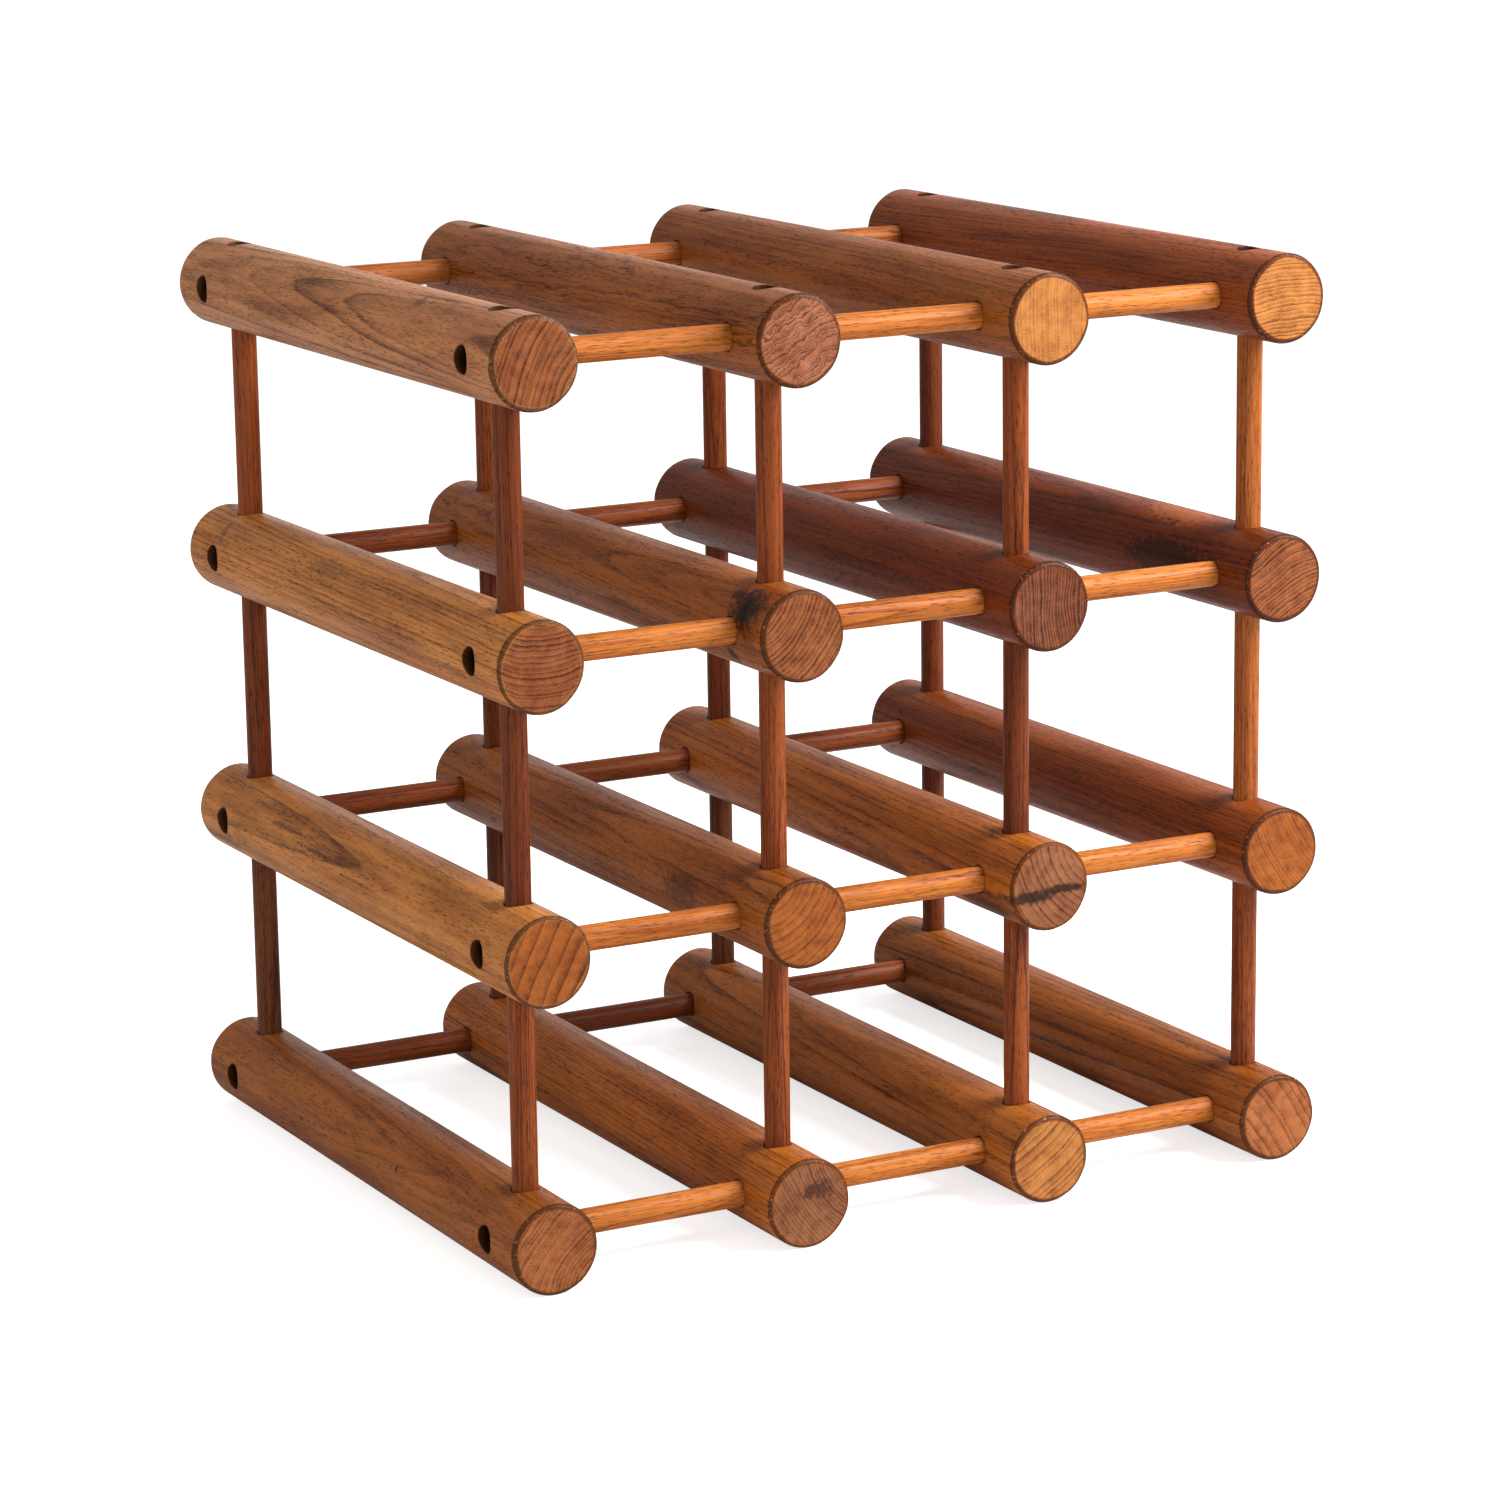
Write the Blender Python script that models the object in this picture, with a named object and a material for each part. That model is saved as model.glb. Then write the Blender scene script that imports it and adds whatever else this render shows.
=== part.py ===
"""Modular wine rack of turned teak bars and push-fit dowels.

Round bars run from front to back in a grid of columns and rows. Each bar has the same eight
blind sockets: four at each end, facing left, right, up and down, all at one distance from the
end. A short dowel joins each bar to the next one beside it and to the next one above it, at
the front and at the rear, so every cell of the grid holds one bottle laid front to back. The
sockets on the outside of the rack stay empty, and more bars and dowels can be added there.

Frame: metres, +Z up, +Y along the bars towards the rear, +X to the right seen from the front.
The origin is on the surface that the rack stands on, under the middle of the rack.
"""

import math

import bmesh
import bpy
from mathutils import Matrix, Vector

# Layout of the grid
COLUMNS = 4
ROWS = 4

# Driving dimensions, in metres
BAR_DIAMETER = 0.035  # across the flats of the faceted bar
BAR_LENGTH = 0.295
BAR_END_CHAMFER = 0.001
DOWEL_DIAMETER = 0.010
DOWEL_LENGTH = 0.093
SOCKET_FROM_END = 0.025  # from the sockets' centre line to the bar's end face
SOCKET_WEB = 0.0012  # wood between the floor of one socket and the wall of the next
SOCKET_CLEARANCE = 0.0003  # all round the dowel
ACROSS_END_GAP = 0.0005  # past each end of a dowel that lies across
UPRIGHT_END_GAP = 0.00175  # past each end of an upright dowel, which goes in less deep

# Facets of the round pieces: a multiple of four puts a flat under a bar and at its sides
BAR_SIDES = 28
DOWEL_SIDES = 16

# Sizes that follow from the driving dimensions
BAR_RADIUS = BAR_DIAMETER / 2
DOWEL_RADIUS = DOWEL_DIAMETER / 2
SOCKET_RADIUS = DOWEL_RADIUS + SOCKET_CLEARANCE
SOCKET_FLOOR = SOCKET_RADIUS + SOCKET_WEB  # from the bar's axis to the floor of a socket
SOCKET_Y = BAR_LENGTH / 2 - SOCKET_FROM_END  # from the bar's middle to the sockets
CUTTER_LENGTH = 2 * BAR_RADIUS  # from the floor of a socket to well outside the bar
COLUMN_PITCH = DOWEL_LENGTH + 2 * (SOCKET_FLOOR + ACROSS_END_GAP)
ROW_PITCH = DOWEL_LENGTH + 2 * (SOCKET_FLOOR + UPRIGHT_END_GAP)

LEFT = Vector((-1, 0, 0))
RIGHT = Vector((1, 0, 0))
UP = Vector((0, 0, 1))
DOWN = Vector((0, 0, -1))
REARWARD = Vector((0, 1, 0))
ENDS = {"front": -SOCKET_Y * REARWARD, "rear": SOCKET_Y * REARWARD}

# An upright and the bar below it are one solid where they are glued together: these are the
# end and the gap between rows where that is so, in every column
GLUED_END = "rear"
GLUED_GAP = 1

# Oiled teak: one tint for each bar, by row from the bottom and by column from the left
BAR_TINTS = (
    ("8f5b30", "7c5636", "9a6534", "94602f"),
    ("9c6231", "a05a2c", "7a4a2c", "8d4e2a"),
    ("a0693a", "8a5230", "6f3f26", "7e452a"),
    ("7f4b2c", "94613a", "a5733c", "9c642f"),
)
ACROSS_TINT = "b06a33"
UPRIGHT_TINT = "7c4426"
OILED_ROUGHNESS = 0.45
CREASE_ANGLE = math.radians(35)  # a sharper edge than this stays sharp


def clear_scene():
    """Take every object out of the scene, so that only the rack is left in it."""
    for old in list(bpy.data.objects):
        bpy.data.objects.remove(old, do_unlink=True)


def linear_colour(tint):
    """Turn an sRGB hex colour into the linear RGBA that a shader takes."""
    channels = [int(tint[i : i + 2], 16) / 255 for i in (0, 2, 4)]
    linear = [((c + 0.055) / 1.055) ** 2.4 if c > 0.04045 else c / 12.92 for c in channels]
    return (*linear, 1.0)


def oiled_teak(name, tint):
    """Make a satin wood material of one tint."""
    material = bpy.data.materials.new(name)
    material.use_nodes = True
    shader = material.node_tree.nodes["Principled BSDF"]
    shader.inputs["Base Color"].default_value = linear_colour(tint)
    shader.inputs["Roughness"].default_value = OILED_ROUGHNESS
    shader.inputs["Metallic"].default_value = 0.0
    return material


def add_rod(shape, radius, sides, start, direction, length):
    """Add a closed rod from the point start along direction, its flats at the given radius."""
    half_facet = math.pi / sides
    corner_radius = radius / math.cos(half_facet)
    roll = Matrix.Rotation(half_facet, 4, "Z")
    stand = direction.to_track_quat("Z", "Y").to_matrix().to_4x4()
    middle = Matrix.Translation(start + direction * length / 2)
    bmesh.ops.create_cone(
        shape,
        cap_ends=True,
        segments=sides,
        radius1=corner_radius,
        radius2=corner_radius,
        depth=length,
        matrix=middle @ stand @ roll,
    )


def finished_mesh(name, shape):
    """Store a bmesh as a mesh with smooth round sides and sharp edges, and free the bmesh."""
    mesh = bpy.data.meshes.new(name)
    shape.to_mesh(mesh)
    shape.free()
    mesh.shade_smooth()
    mesh.set_sharp_from_angle(angle=CREASE_ANGLE)
    return mesh


def plain_bar():
    """Make a bar without sockets, its middle at the origin and its end arrises chamfered."""
    shape = bmesh.new()
    front_face = -BAR_LENGTH / 2 * REARWARD
    add_rod(shape, BAR_RADIUS, BAR_SIDES, front_face, REARWARD, BAR_LENGTH)
    ends_of_edges = [(edge, *edge.verts) for edge in shape.edges]
    arrises = [edge for edge, a, b in ends_of_edges if abs(a.co.y - b.co.y) < BAR_END_CHAMFER]
    bmesh.ops.bevel(
        shape,
        geom=arrises,
        offset=BAR_END_CHAMFER,
        offset_type="OFFSET",
        segments=1,
        affect="EDGES",
    )
    return shape


def socket_cutter(left_out):
    """Make the rods that cut a bar's sockets, apart from the sockets in left_out."""
    shape = bmesh.new()
    for end, middle in ENDS.items():
        for direction in (LEFT, RIGHT, UP, DOWN):
            if (end, direction) in left_out:
                continue
            start = middle + SOCKET_FLOOR * direction
            add_rod(shape, SOCKET_RADIUS, DOWEL_SIDES, start, direction, CUTTER_LENGTH)
    return shape


def dowel(direction, start):
    """Make a dowel that runs along direction from the point start."""
    shape = bmesh.new()
    add_rod(shape, DOWEL_RADIUS, DOWEL_SIDES, start, direction, DOWEL_LENGTH)
    return shape


def upright_start(end):
    """Give the lower end of the upright that stands in a bar with its middle at the origin."""
    return ENDS[end] + (SOCKET_FLOOR + UPRIGHT_END_GAP) * UP


def combined(name, base, tool, operation):
    """Give the exact Boolean of two bmeshes as a mesh, and free both."""
    base_object = bpy.data.objects.new(name, finished_mesh(name, base))
    tool_object = bpy.data.objects.new(name + "_tool", finished_mesh(name + "_tool", tool))
    for piece in (base_object, tool_object):
        bpy.context.collection.objects.link(piece)
    boolean = base_object.modifiers.new("boolean", "BOOLEAN")
    boolean.solver = "EXACT"
    boolean.operation = operation
    boolean.object = tool_object
    evaluated = base_object.evaluated_get(bpy.context.evaluated_depsgraph_get())
    shape = bmesh.new()
    shape.from_mesh(evaluated.to_mesh())
    for piece in (base_object, tool_object):
        bpy.data.objects.remove(piece, do_unlink=True)
    return shape


def socketed_bar():
    """Make the mesh of a bar with all its sockets."""
    return finished_mesh("bar", combined("bar", plain_bar(), socket_cutter([]), "DIFFERENCE"))


def bar_with_upright():
    """Make the mesh of a bar that has an upright glued in where one socket would be."""
    glued = combined("bar", plain_bar(), dowel(UP, upright_start(GLUED_END)), "UNION")
    cutter = socket_cutter([(GLUED_END, UP)])
    return finished_mesh("bar_with_upright", combined("bar", glued, cutter, "DIFFERENCE"))


def place(name, mesh, location, tint):
    """Put a piece with this mesh in the scene, in its own wood."""
    piece = bpy.data.objects.new(name, mesh.copy())
    piece.location = location
    piece.data.materials.append(oiled_teak(name + "_teak", tint))
    bpy.context.collection.objects.link(piece)
    return piece


def bar_axis(column, row):
    """Give the middle of the bar in this column and row, both counted from 0."""
    across = (column - (COLUMNS - 1) / 2) * COLUMN_PITCH
    return Vector((across, 0, BAR_RADIUS + row * ROW_PITCH))


def build_bars():
    """Build every bar, by row from the bottom and by column from the left."""
    whole = socketed_bar()
    glued = bar_with_upright()
    for row in range(ROWS):
        mesh = glued if row + 1 == GLUED_GAP else whole
        for column in range(COLUMNS):
            name = f"bar_row{row + 1}_col{column + 1}"
            place(name, mesh, bar_axis(column, row), BAR_TINTS[row][column])


def build_across_dowels():
    """Build the dowels that lie between neighbouring bars of each row."""
    for end, middle in ENDS.items():
        start = middle + (SOCKET_FLOOR + ACROSS_END_GAP) * RIGHT
        mesh = finished_mesh("across_dowel", dowel(RIGHT, start))
        for row in range(ROWS):
            for gap in range(COLUMNS - 1):
                name = f"across_dowel_{end}_row{row + 1}_gap{gap + 1}"
                place(name, mesh, bar_axis(gap, row), ACROSS_TINT)


def build_upright_dowels():
    """Build the dowels that stand between neighbouring bars of each column."""
    for end in ENDS:
        mesh = finished_mesh("upright_dowel", dowel(UP, upright_start(end)))
        for gap in range(ROWS - 1):
            if (end, gap + 1) == (GLUED_END, GLUED_GAP):
                continue
            for column in range(COLUMNS):
                name = f"upright_dowel_{end}_col{column + 1}_gap{gap + 1}"
                place(name, mesh, bar_axis(column, gap), UPRIGHT_TINT)


clear_scene()
build_bars()
build_across_dowels()
build_upright_dowels()
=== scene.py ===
"""Looks of a modular teak wine rack: turned bars, push-fit dowels, studio floor, light and camera.

Sixteen round bars of solid teak run from front to back, and short dowels join each one to its
neighbours beside it, above it and below it. Every piece is cut from its own bit of the log:
its vertices carry the place that they had in the tree, so rings, pores and fibres run on
from the round side of a piece over its end. Units are metres, and millimetres where a name
ends in _mm. +Z is up, +Y runs along the bars to the rear, and +X is to the right.
"""

from __future__ import annotations

import logging
import math
from collections.abc import Iterator
from dataclasses import dataclass, field
from enum import Enum

import bmesh
import bpy
import numpy as np
from mathutils import Matrix, Vector


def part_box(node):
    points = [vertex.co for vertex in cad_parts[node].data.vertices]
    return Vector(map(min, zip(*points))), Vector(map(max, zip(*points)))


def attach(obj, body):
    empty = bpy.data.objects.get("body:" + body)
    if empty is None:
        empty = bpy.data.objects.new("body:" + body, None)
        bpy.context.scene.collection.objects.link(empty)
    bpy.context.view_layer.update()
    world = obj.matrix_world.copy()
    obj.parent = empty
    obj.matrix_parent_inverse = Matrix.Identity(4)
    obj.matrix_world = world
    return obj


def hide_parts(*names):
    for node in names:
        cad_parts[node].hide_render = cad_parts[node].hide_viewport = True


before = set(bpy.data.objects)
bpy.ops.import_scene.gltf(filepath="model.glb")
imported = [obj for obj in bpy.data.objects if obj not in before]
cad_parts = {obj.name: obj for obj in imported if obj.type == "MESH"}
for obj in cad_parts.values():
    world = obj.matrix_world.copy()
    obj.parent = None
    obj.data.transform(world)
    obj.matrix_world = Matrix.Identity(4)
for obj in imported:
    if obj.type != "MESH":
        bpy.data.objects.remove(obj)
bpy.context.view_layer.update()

LOG = logging.getLogger("wine_rack")
MM = 0.001
BODY = "root"

# The sockets of a Mix node that mixes colours
FACTOR, GROUND, COVER = 0, 6, 7
MIXED = 2


# ---------------------------------------------------------------- named options


class End(Enum):
    """The two ends of a bar, with the side of its middle that each lies on."""

    FRONT = -1
    REAR = 1


class Lie(Enum):
    """How a dowel lies in the rack, with a name for its wood."""

    ACROSS = "teak_across_dowel"
    UPRIGHT = "teak_upright_dowel"


# ---------------------------------------------------------------- small tools


def linear(hex_colour: str) -> tuple[float, float, float, float]:
    """Turn an sRGB hex colour into linear RGBA.

    Args:
        hex_colour: Six hex digits, such as "8a5a33".

    Returns:
        The linear red, green and blue, and an alpha of 1.
    """
    srgb = np.array([int(hex_colour[i : i + 2], 16) for i in (0, 2, 4)]) / 255
    bent = np.where(srgb > 0.04045, ((srgb + 0.055) / 1.055) ** 2.4, srgb / 12.92)
    return (*map(float, bent), 1.0)


def quarter_turned(points: np.ndarray, quarters: int) -> np.ndarray:
    """Turn points about the Y axis by whole quarter turns, from +X towards +Z.

    Args:
        points: Array of shape (..., 3).
        quarters: Number of quarter turns.

    Returns:
        The turned points, in a new array.
    """
    c, s = [(1, 0), (0, 1), (-1, 0), (0, -1)][quarters % 4]
    x, y, z = points[..., 0], points[..., 1], points[..., 2]
    return np.stack([c * x - s * z, y, s * x + c * z], axis=-1)


def ripple(angle: np.ndarray, seed: int, waves: int = 9) -> np.ndarray:
    """Give a smooth closed wobble round a circle.

    The value is a sum of sines of 1, 2, 3 and more waves per turn, each with a random phase
    and a strength that falls as the square root of its number of waves.

    Args:
        angle: Angles in radians, of any shape.
        seed: Seed of the random phases.
        waves: Number of sines.

    Returns:
        The wobble, roughly between -1 and 1.
    """
    usual_peak = 2.2
    phases = np.random.default_rng(seed).uniform(0, 2 * np.pi, waves)
    number = np.arange(1, waves + 1)
    sines = np.sin(angle[..., None] * number + phases) / np.sqrt(number)
    return sines.sum(axis=-1) / usual_peak


# ---------------------------------------------------------------- surfaces


@dataclass
class Skin:
    """A closed surface gathered from grids of points that share their borders.

    Each point carries three marks from 0 to 1: how much it belongs to a worn edge, which gets
    dirt, rubbed spots and painted shade, how deep it lies in a socket, which sets the painted
    shade there, and whether it lies on end grain.

    Attributes:
        points: The points of each grid, one to a row.
        marks: Their marks, in the same order.
        quads: Four point numbers for each quad of each grid.
        count: How many points have been added.
    """

    points: list[np.ndarray] = field(default_factory=list)
    marks: list[np.ndarray] = field(default_factory=list)
    quads: list[np.ndarray] = field(default_factory=list)
    count: int = 0

    def add(self, grid: np.ndarray, edge: float | np.ndarray = 0.0,
            hollow: float | np.ndarray = 0.0, end_grain: float = 0.0) -> None:
        """Add a grid of points as quads between its neighbouring rows and columns.

        Args:
            grid: Points of shape (rows, columns, 3).
            edge: How much each point belongs to a worn edge, with its dirt and painted shade.
            hollow: How deep in a socket each point lies, which sets the painted shade there.
            end_grain: Whether the points lie on end grain.
        """
        rows, columns = grid.shape[:2]
        index = self.count + np.arange(rows * columns).reshape(rows, columns)
        corners = [index[:-1, :-1], index[:-1, 1:], index[1:, 1:], index[1:, :-1]]
        self.quads.append(np.stack(corners, axis=-1).reshape(-1, 4))
        self.points.append(grid.reshape(-1, 3))
        mark = np.zeros((rows, columns, 3))
        mark[..., 0] = edge
        mark[..., 1] = hollow
        mark[..., 2] = end_grain
        self.marks.append(mark.reshape(-1, 3))
        self.count += rows * columns

    def welded(self) -> tuple[np.ndarray, np.ndarray, list[list[int]]]:
        """Merge the points that grids share and drop the corners that quads lose by it.

        Returns:
            The points, their marks, and the faces as lists of three or four indices.
        """
        points = np.concatenate(self.points)
        marks = np.concatenate(self.marks)
        quads = np.concatenate(self.quads)
        cell = 0.002 * MM  # points in one cell of this size are one point
        off_centre = 0.137  # keeps round values away from the border between two cells
        keys = np.floor(points / cell + off_centre).astype(np.int64)
        _, first, same = np.unique(keys, axis=0, return_index=True, return_inverse=True)
        quads = same.reshape(-1)[quads]
        kept = quads != np.roll(quads, 1, axis=1)
        faces = [face[keep].tolist() for face, keep in zip(quads, kept) if keep.sum() > 2]
        return points[first], marks[first], faces


# ---------------------------------------------------------------- the log and the cuts


@dataclass(frozen=True)
class Cut:
    """Where in the log a piece was cut.

    Attributes:
        pith_angle: Direction from the piece's axis to the log's pith, in degrees, seen
            from the front or from below, 0 to the right and 90 upwards.
        pith_mm: Distance from the piece's axis to the pith.
        lean: Millimetres that the pith moves away for each millimetre along the piece.
        skew: Millimetres that it moves sideways for each millimetre along the piece.
        along_mm: Where along the log the piece's middle was.
    """

    pith_angle: float
    pith_mm: float
    lean: float = 0.02
    skew: float = 0.0
    along_mm: float = 0.0

    def log_place(self, across: np.ndarray, up: np.ndarray, along: np.ndarray) -> np.ndarray:
        """Give the place in the log, in millimetres, of points of the piece.

        The pith is a straight line, leaning and skewed to the piece's own axis: the place
        is the point's offset from that line, and its distance along it.

        Args:
            across: Coordinates to the right of the piece's axis, in metres.
            up: Coordinates above the piece's axis.
            along: Coordinates along the axis from the piece's middle.

        Returns:
            Array of shape (points, 3): offset from the pith in two directions, and along.
        """
        angle = math.radians(self.pith_angle)
        towards = np.array([math.cos(angle), math.sin(angle)])
        aside = np.array([-towards[1], towards[0]])
        reach = self.pith_mm + self.lean * along / MM
        slip = self.skew * along / MM
        x = across / MM - reach * towards[0] - slip * aside[0]
        z = up / MM - reach * towards[1] - slip * aside[1]
        return np.stack([x, z, along / MM + self.along_mm], axis=-1)


@dataclass(frozen=True)
class Blemish:
    """A knot, stain or smudge: a soft-edged patch of another colour.

    Attributes:
        place_mm: Centre, from the middle of the piece's axis: right, rearward and up.
        size_mm: Half-widths in the same three directions.
        colour: The patch's sRGB hex colour.
        strength: How much of the wood's own colour it covers, 0 to 1.
        ragged: How far noise tears its border, as a share of its size.
    """

    place_mm: tuple[float, float, float]
    size_mm: tuple[float, float, float]
    colour: str
    strength: float = 0.8
    ragged: float = 0.5


def add(tree: bpy.types.NodeTree, kind: str, inputs: dict | None = None,
        output: int | str = 0, **settings: object) -> bpy.types.NodeSocket:
    """Add a shader node with its settings and links.

    Args:
        tree: Node tree to add to.
        kind: Node type without its "ShaderNode" prefix.
        inputs: Value or socket for each named or numbered input.
        output: Name or number of the output wanted.
        **settings: Properties of the node.

    Returns:
        The output socket.
    """
    node = tree.nodes.new("ShaderNode" + kind)
    for name, value in settings.items():
        setattr(node, name, value)
    for key, value in (inputs or {}).items():
        if isinstance(value, bpy.types.NodeSocket):
            tree.links.new(value, node.inputs[key])
        else:
            node.inputs[key].default_value = value
    return node.outputs[output]


@dataclass(frozen=True)
class Tone:
    """The two colours of a growth ring, and how much they differ.

    Attributes:
        ground: Colour of the paler late part of a ring.
        ring: Colour of its dark start.
        contrast: How much of the ring colour shows at its darkest, 0 to 1.
    """

    ground: str
    ring: str
    contrast: float


@dataclass(frozen=True)
class OiledTeak:
    """Solid teak, turned and oiled: warm brown ground, dark growth rings, short pore lines.

    Teak is ring-porous. Each ring starts with a dark row of large vessels and fades to a
    paler ground, and cut lengthwise the vessels are fine dark dashes along the grain. End
    grain drinks more oil, so its rings stand out more. The oil leaves a low satin sheen,
    broken where the pores stay open.

    Attributes:
        name: Name of the finish.
        side: Colours along the grain.
        end: Colours of the end grain.
        ring_mm: Distance from ring to ring.
        wander_mm: How far the rings wander from true circles.
        curl_mm: Short-waved wander, for mottled and wavy figure.
        pore_strength: How dark the pores are, 0 to 1.
        fibre_gain: How strongly single fibres differ.
        glow: How much redder heartwood clouds the ground, 0 to 1.
        blemishes: Knots, stains and smudges.
    """

    name: str
    side: Tone
    end: Tone
    ring_mm: float
    wander_mm: float
    curl_mm: float = 0.0
    pore_strength: float = 0.6
    fibre_gain: float = 1.3
    glow: float = 0.25
    blemishes: tuple[Blemish, ...] = ()

    PORE = "1a0a05"
    ARRIS_DIRT_AND_SHADE = "2b130b"  # old oil and dust on a bar's worn arris, deepened as painted shade of the arris
    RUBBED = "a86c3e"  # bare wood where the arris is rubbed
    # Darker, dirtier raw wood with painted shade, laid in the sockets and deepest at their floors
    SOCKET = "160a05"
    HEARTWOOD = "7c3613"

    # How rings run from year to year
    YEAR_SCALE = 0.45  # noise cells to a ring, for their uneven widths
    YEAR_REACH = 1.4  # rings that this noise can add
    SEASON_SCALE = 0.9  # noise cells to a ring, for their uneven darkness

    # How one ring runs from its dark start to its pale end
    LINE_MM = 0.75  # width of the dark line that starts it
    LINE_SHARE = 0.62  # how much of the darkness is in that line
    LINE_LEAST_POWER = 1.8  # of what is left of the ring, where rings are narrow
    FADE_SHARE = 0.5  # how much of it is in the slow fade after the line
    FADE_POWER = 1.6
    RISE_MM = 0.25  # over which the line darkens
    RISE_MOST = 0.3  # most that it takes of a ring

    # Sizes of the figure, in millimetres: across the grain, and along it
    PORE_CELL_MM = (0.6, 6.5)  # drawn about twice as wide as real vessels, to show at all
    PORE_PATCH_MM = (7.0, 45.0)
    FIBRE_MM = (0.42, 12.0)
    STREAK_MM = (4.0, 70.0)
    CLOUD_MM = (16.0, 75.0)
    WANDER_MM = (28.0, 240.0)
    CURL_MM = (4.5, 26.0)
    RUB_MM = (1.1, 2.5)

    # Half-widths of the pores, in cells
    PORE_THIN = 0.22
    PORE_THICK = 0.38
    PORE_EARLY = 0.10  # wider by this at a ring's dark start
    PORE_CORE = 0.55  # share of a pore inside its soft border

    TEXTURE_BASE = 0.16
    STREAK_GAIN = 1.3
    CLOUD_GAIN = 0.9
    END_SHARE = 0.85  # of texture and pores that shows on end grain
    RIM_COVER = 0.82  # of dirt and painted shade over the wood at the arris

    # Satin of oil rubbed into open-pored wood: weak gloss, duller in pores and streaks
    GLOSS = 0.13
    SATIN = 0.28
    PORE_MATT = 0.25
    STREAK_MATT = 0.25
    RELIEF = 0.12 * MM
    RELIEF_STRENGTH = 0.5
    PORE_RELIEF = -1.0
    RING_RELIEF = -0.25

    def stretched(self, tree: bpy.types.NodeTree, place: bpy.types.NodeSocket,
                  size_mm: tuple[float, float]) -> bpy.types.NodeSocket:
        """Scale a place in the log so that a pattern of unit size gets this size.

        Args:
            tree: Node tree to add to.
            place: Place in the log, in millimetres.
            size_mm: The pattern's size across the grain and along it.

        Returns:
            The scaled place.
        """
        across, along = size_mm
        scale = (1 / across, 1 / across, 1 / along)
        return add(tree, "VectorMath", {0: place, 1: scale}, operation="MULTIPLY")

    def noise(self, tree: bpy.types.NodeTree, place: bpy.types.NodeSocket,
              size_mm: tuple[float, float], detail: float) -> bpy.types.NodeSocket:
        """Add smooth noise of a size in the log.

        Args:
            tree: Node tree to add to.
            place: Place in the log, in millimetres.
            size_mm: The noise's size across the grain and along it.
            detail: Number of finer layers.

        Returns:
            The noise, from 0 to 1 and about 0.5 in the middle.
        """
        vector = self.stretched(tree, place, size_mm)
        return add(tree, "TexNoise", {"Vector": vector, "Scale": 1.0, "Detail": detail})

    def ring_count(self, tree: bpy.types.NodeTree,
                   place: bpy.types.NodeSocket) -> bpy.types.NodeSocket:
        """Give how many rings lie between the pith and a point.

        It is the distance from the pith over the ring width, where slow noise lets the rings
        wander, quick noise curls them, and noise over the years makes them uneven.

        Args:
            tree: Node tree to add to.
            place: Place in the log, in millimetres.

        Returns:
            The number of rings, not whole between two of them.
        """
        split = add(tree, "SeparateXYZ", {0: place})
        flat = add(tree, "CombineXYZ", {0: split, 1: split.node.outputs[1], 2: 0.0})
        radius = add(tree, "VectorMath", {0: flat}, output="Value", operation="LENGTH")
        noise_peak = 0.25  # how far the noise usually strays from its middle
        for size, reach in ((self.WANDER_MM, self.wander_mm), (self.CURL_MM, self.curl_mm)):
            if reach:
                wave = self.noise(tree, place, size, 2.0)
                centred = add(tree, "Math", {0: wave, 1: -0.5}, operation="ADD")
                push = {0: centred, 1: reach / noise_peak, 2: radius}
                radius = add(tree, "Math", push, operation="MULTIPLY_ADD")
        turns = add(tree, "Math", {0: radius, 1: 1 / self.ring_mm}, operation="MULTIPLY")
        years = {"W": turns, "Scale": self.YEAR_SCALE, "Detail": 1.0}
        growth = add(tree, "TexNoise", years, noise_dimensions="1D")
        uneven = {0: growth, 1: self.YEAR_REACH, 2: turns}
        return add(tree, "Math", uneven, operation="MULTIPLY_ADD")

    def ring_dark(self, tree: bpy.types.NodeTree,
                  turns: bpy.types.NodeSocket) -> bpy.types.NodeSocket:
        """Give how dark a ring is, from the number of rings inside a point.

        It rises steeply at the ring's start, falls quickly past a thin line, and then fades
        slowly to the next one: a sum of a high and a low power of what is left of the ring.
        Noise over the years makes some rings darker than others.

        Args:
            tree: Node tree to add to.
            turns: Number of rings inside a point.

        Returns:
            The darkness, from 0 to about 1.
        """
        phase = add(tree, "Math", {0: turns}, operation="FRACT")
        left = add(tree, "Math", {0: 1.0, 1: phase}, operation="SUBTRACT")
        line_power = max(self.LINE_LEAST_POWER, self.ring_mm / self.LINE_MM)
        line = add(tree, "Math", {0: left, 1: line_power}, operation="POWER")
        thin = add(tree, "Math", {0: line, 1: self.LINE_SHARE}, operation="MULTIPLY")
        fade = add(tree, "Math", {0: left, 1: self.FADE_POWER}, operation="POWER")
        sum_up = {0: fade, 1: self.FADE_SHARE, 2: thin}
        both = add(tree, "Math", sum_up, operation="MULTIPLY_ADD")
        rise = {"Value": phase, "From Max": min(self.RISE_MOST, self.RISE_MM / self.ring_mm)}
        start = add(tree, "MapRange", rise, interpolation_type="SMOOTHSTEP")
        seasons = {"W": turns, "Scale": self.SEASON_SCALE}
        year = add(tree, "TexNoise", seasons, noise_dimensions="1D")
        spread = {"Value": year, "From Min": 0.35, "From Max": 0.65, "To Min": 0.5, "To Max": 1.1}
        season = add(tree, "MapRange", spread)
        full = add(tree, "Math", {0: both, 1: start}, operation="MULTIPLY")
        return add(tree, "Math", {0: full, 1: season}, operation="MULTIPLY")

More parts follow.
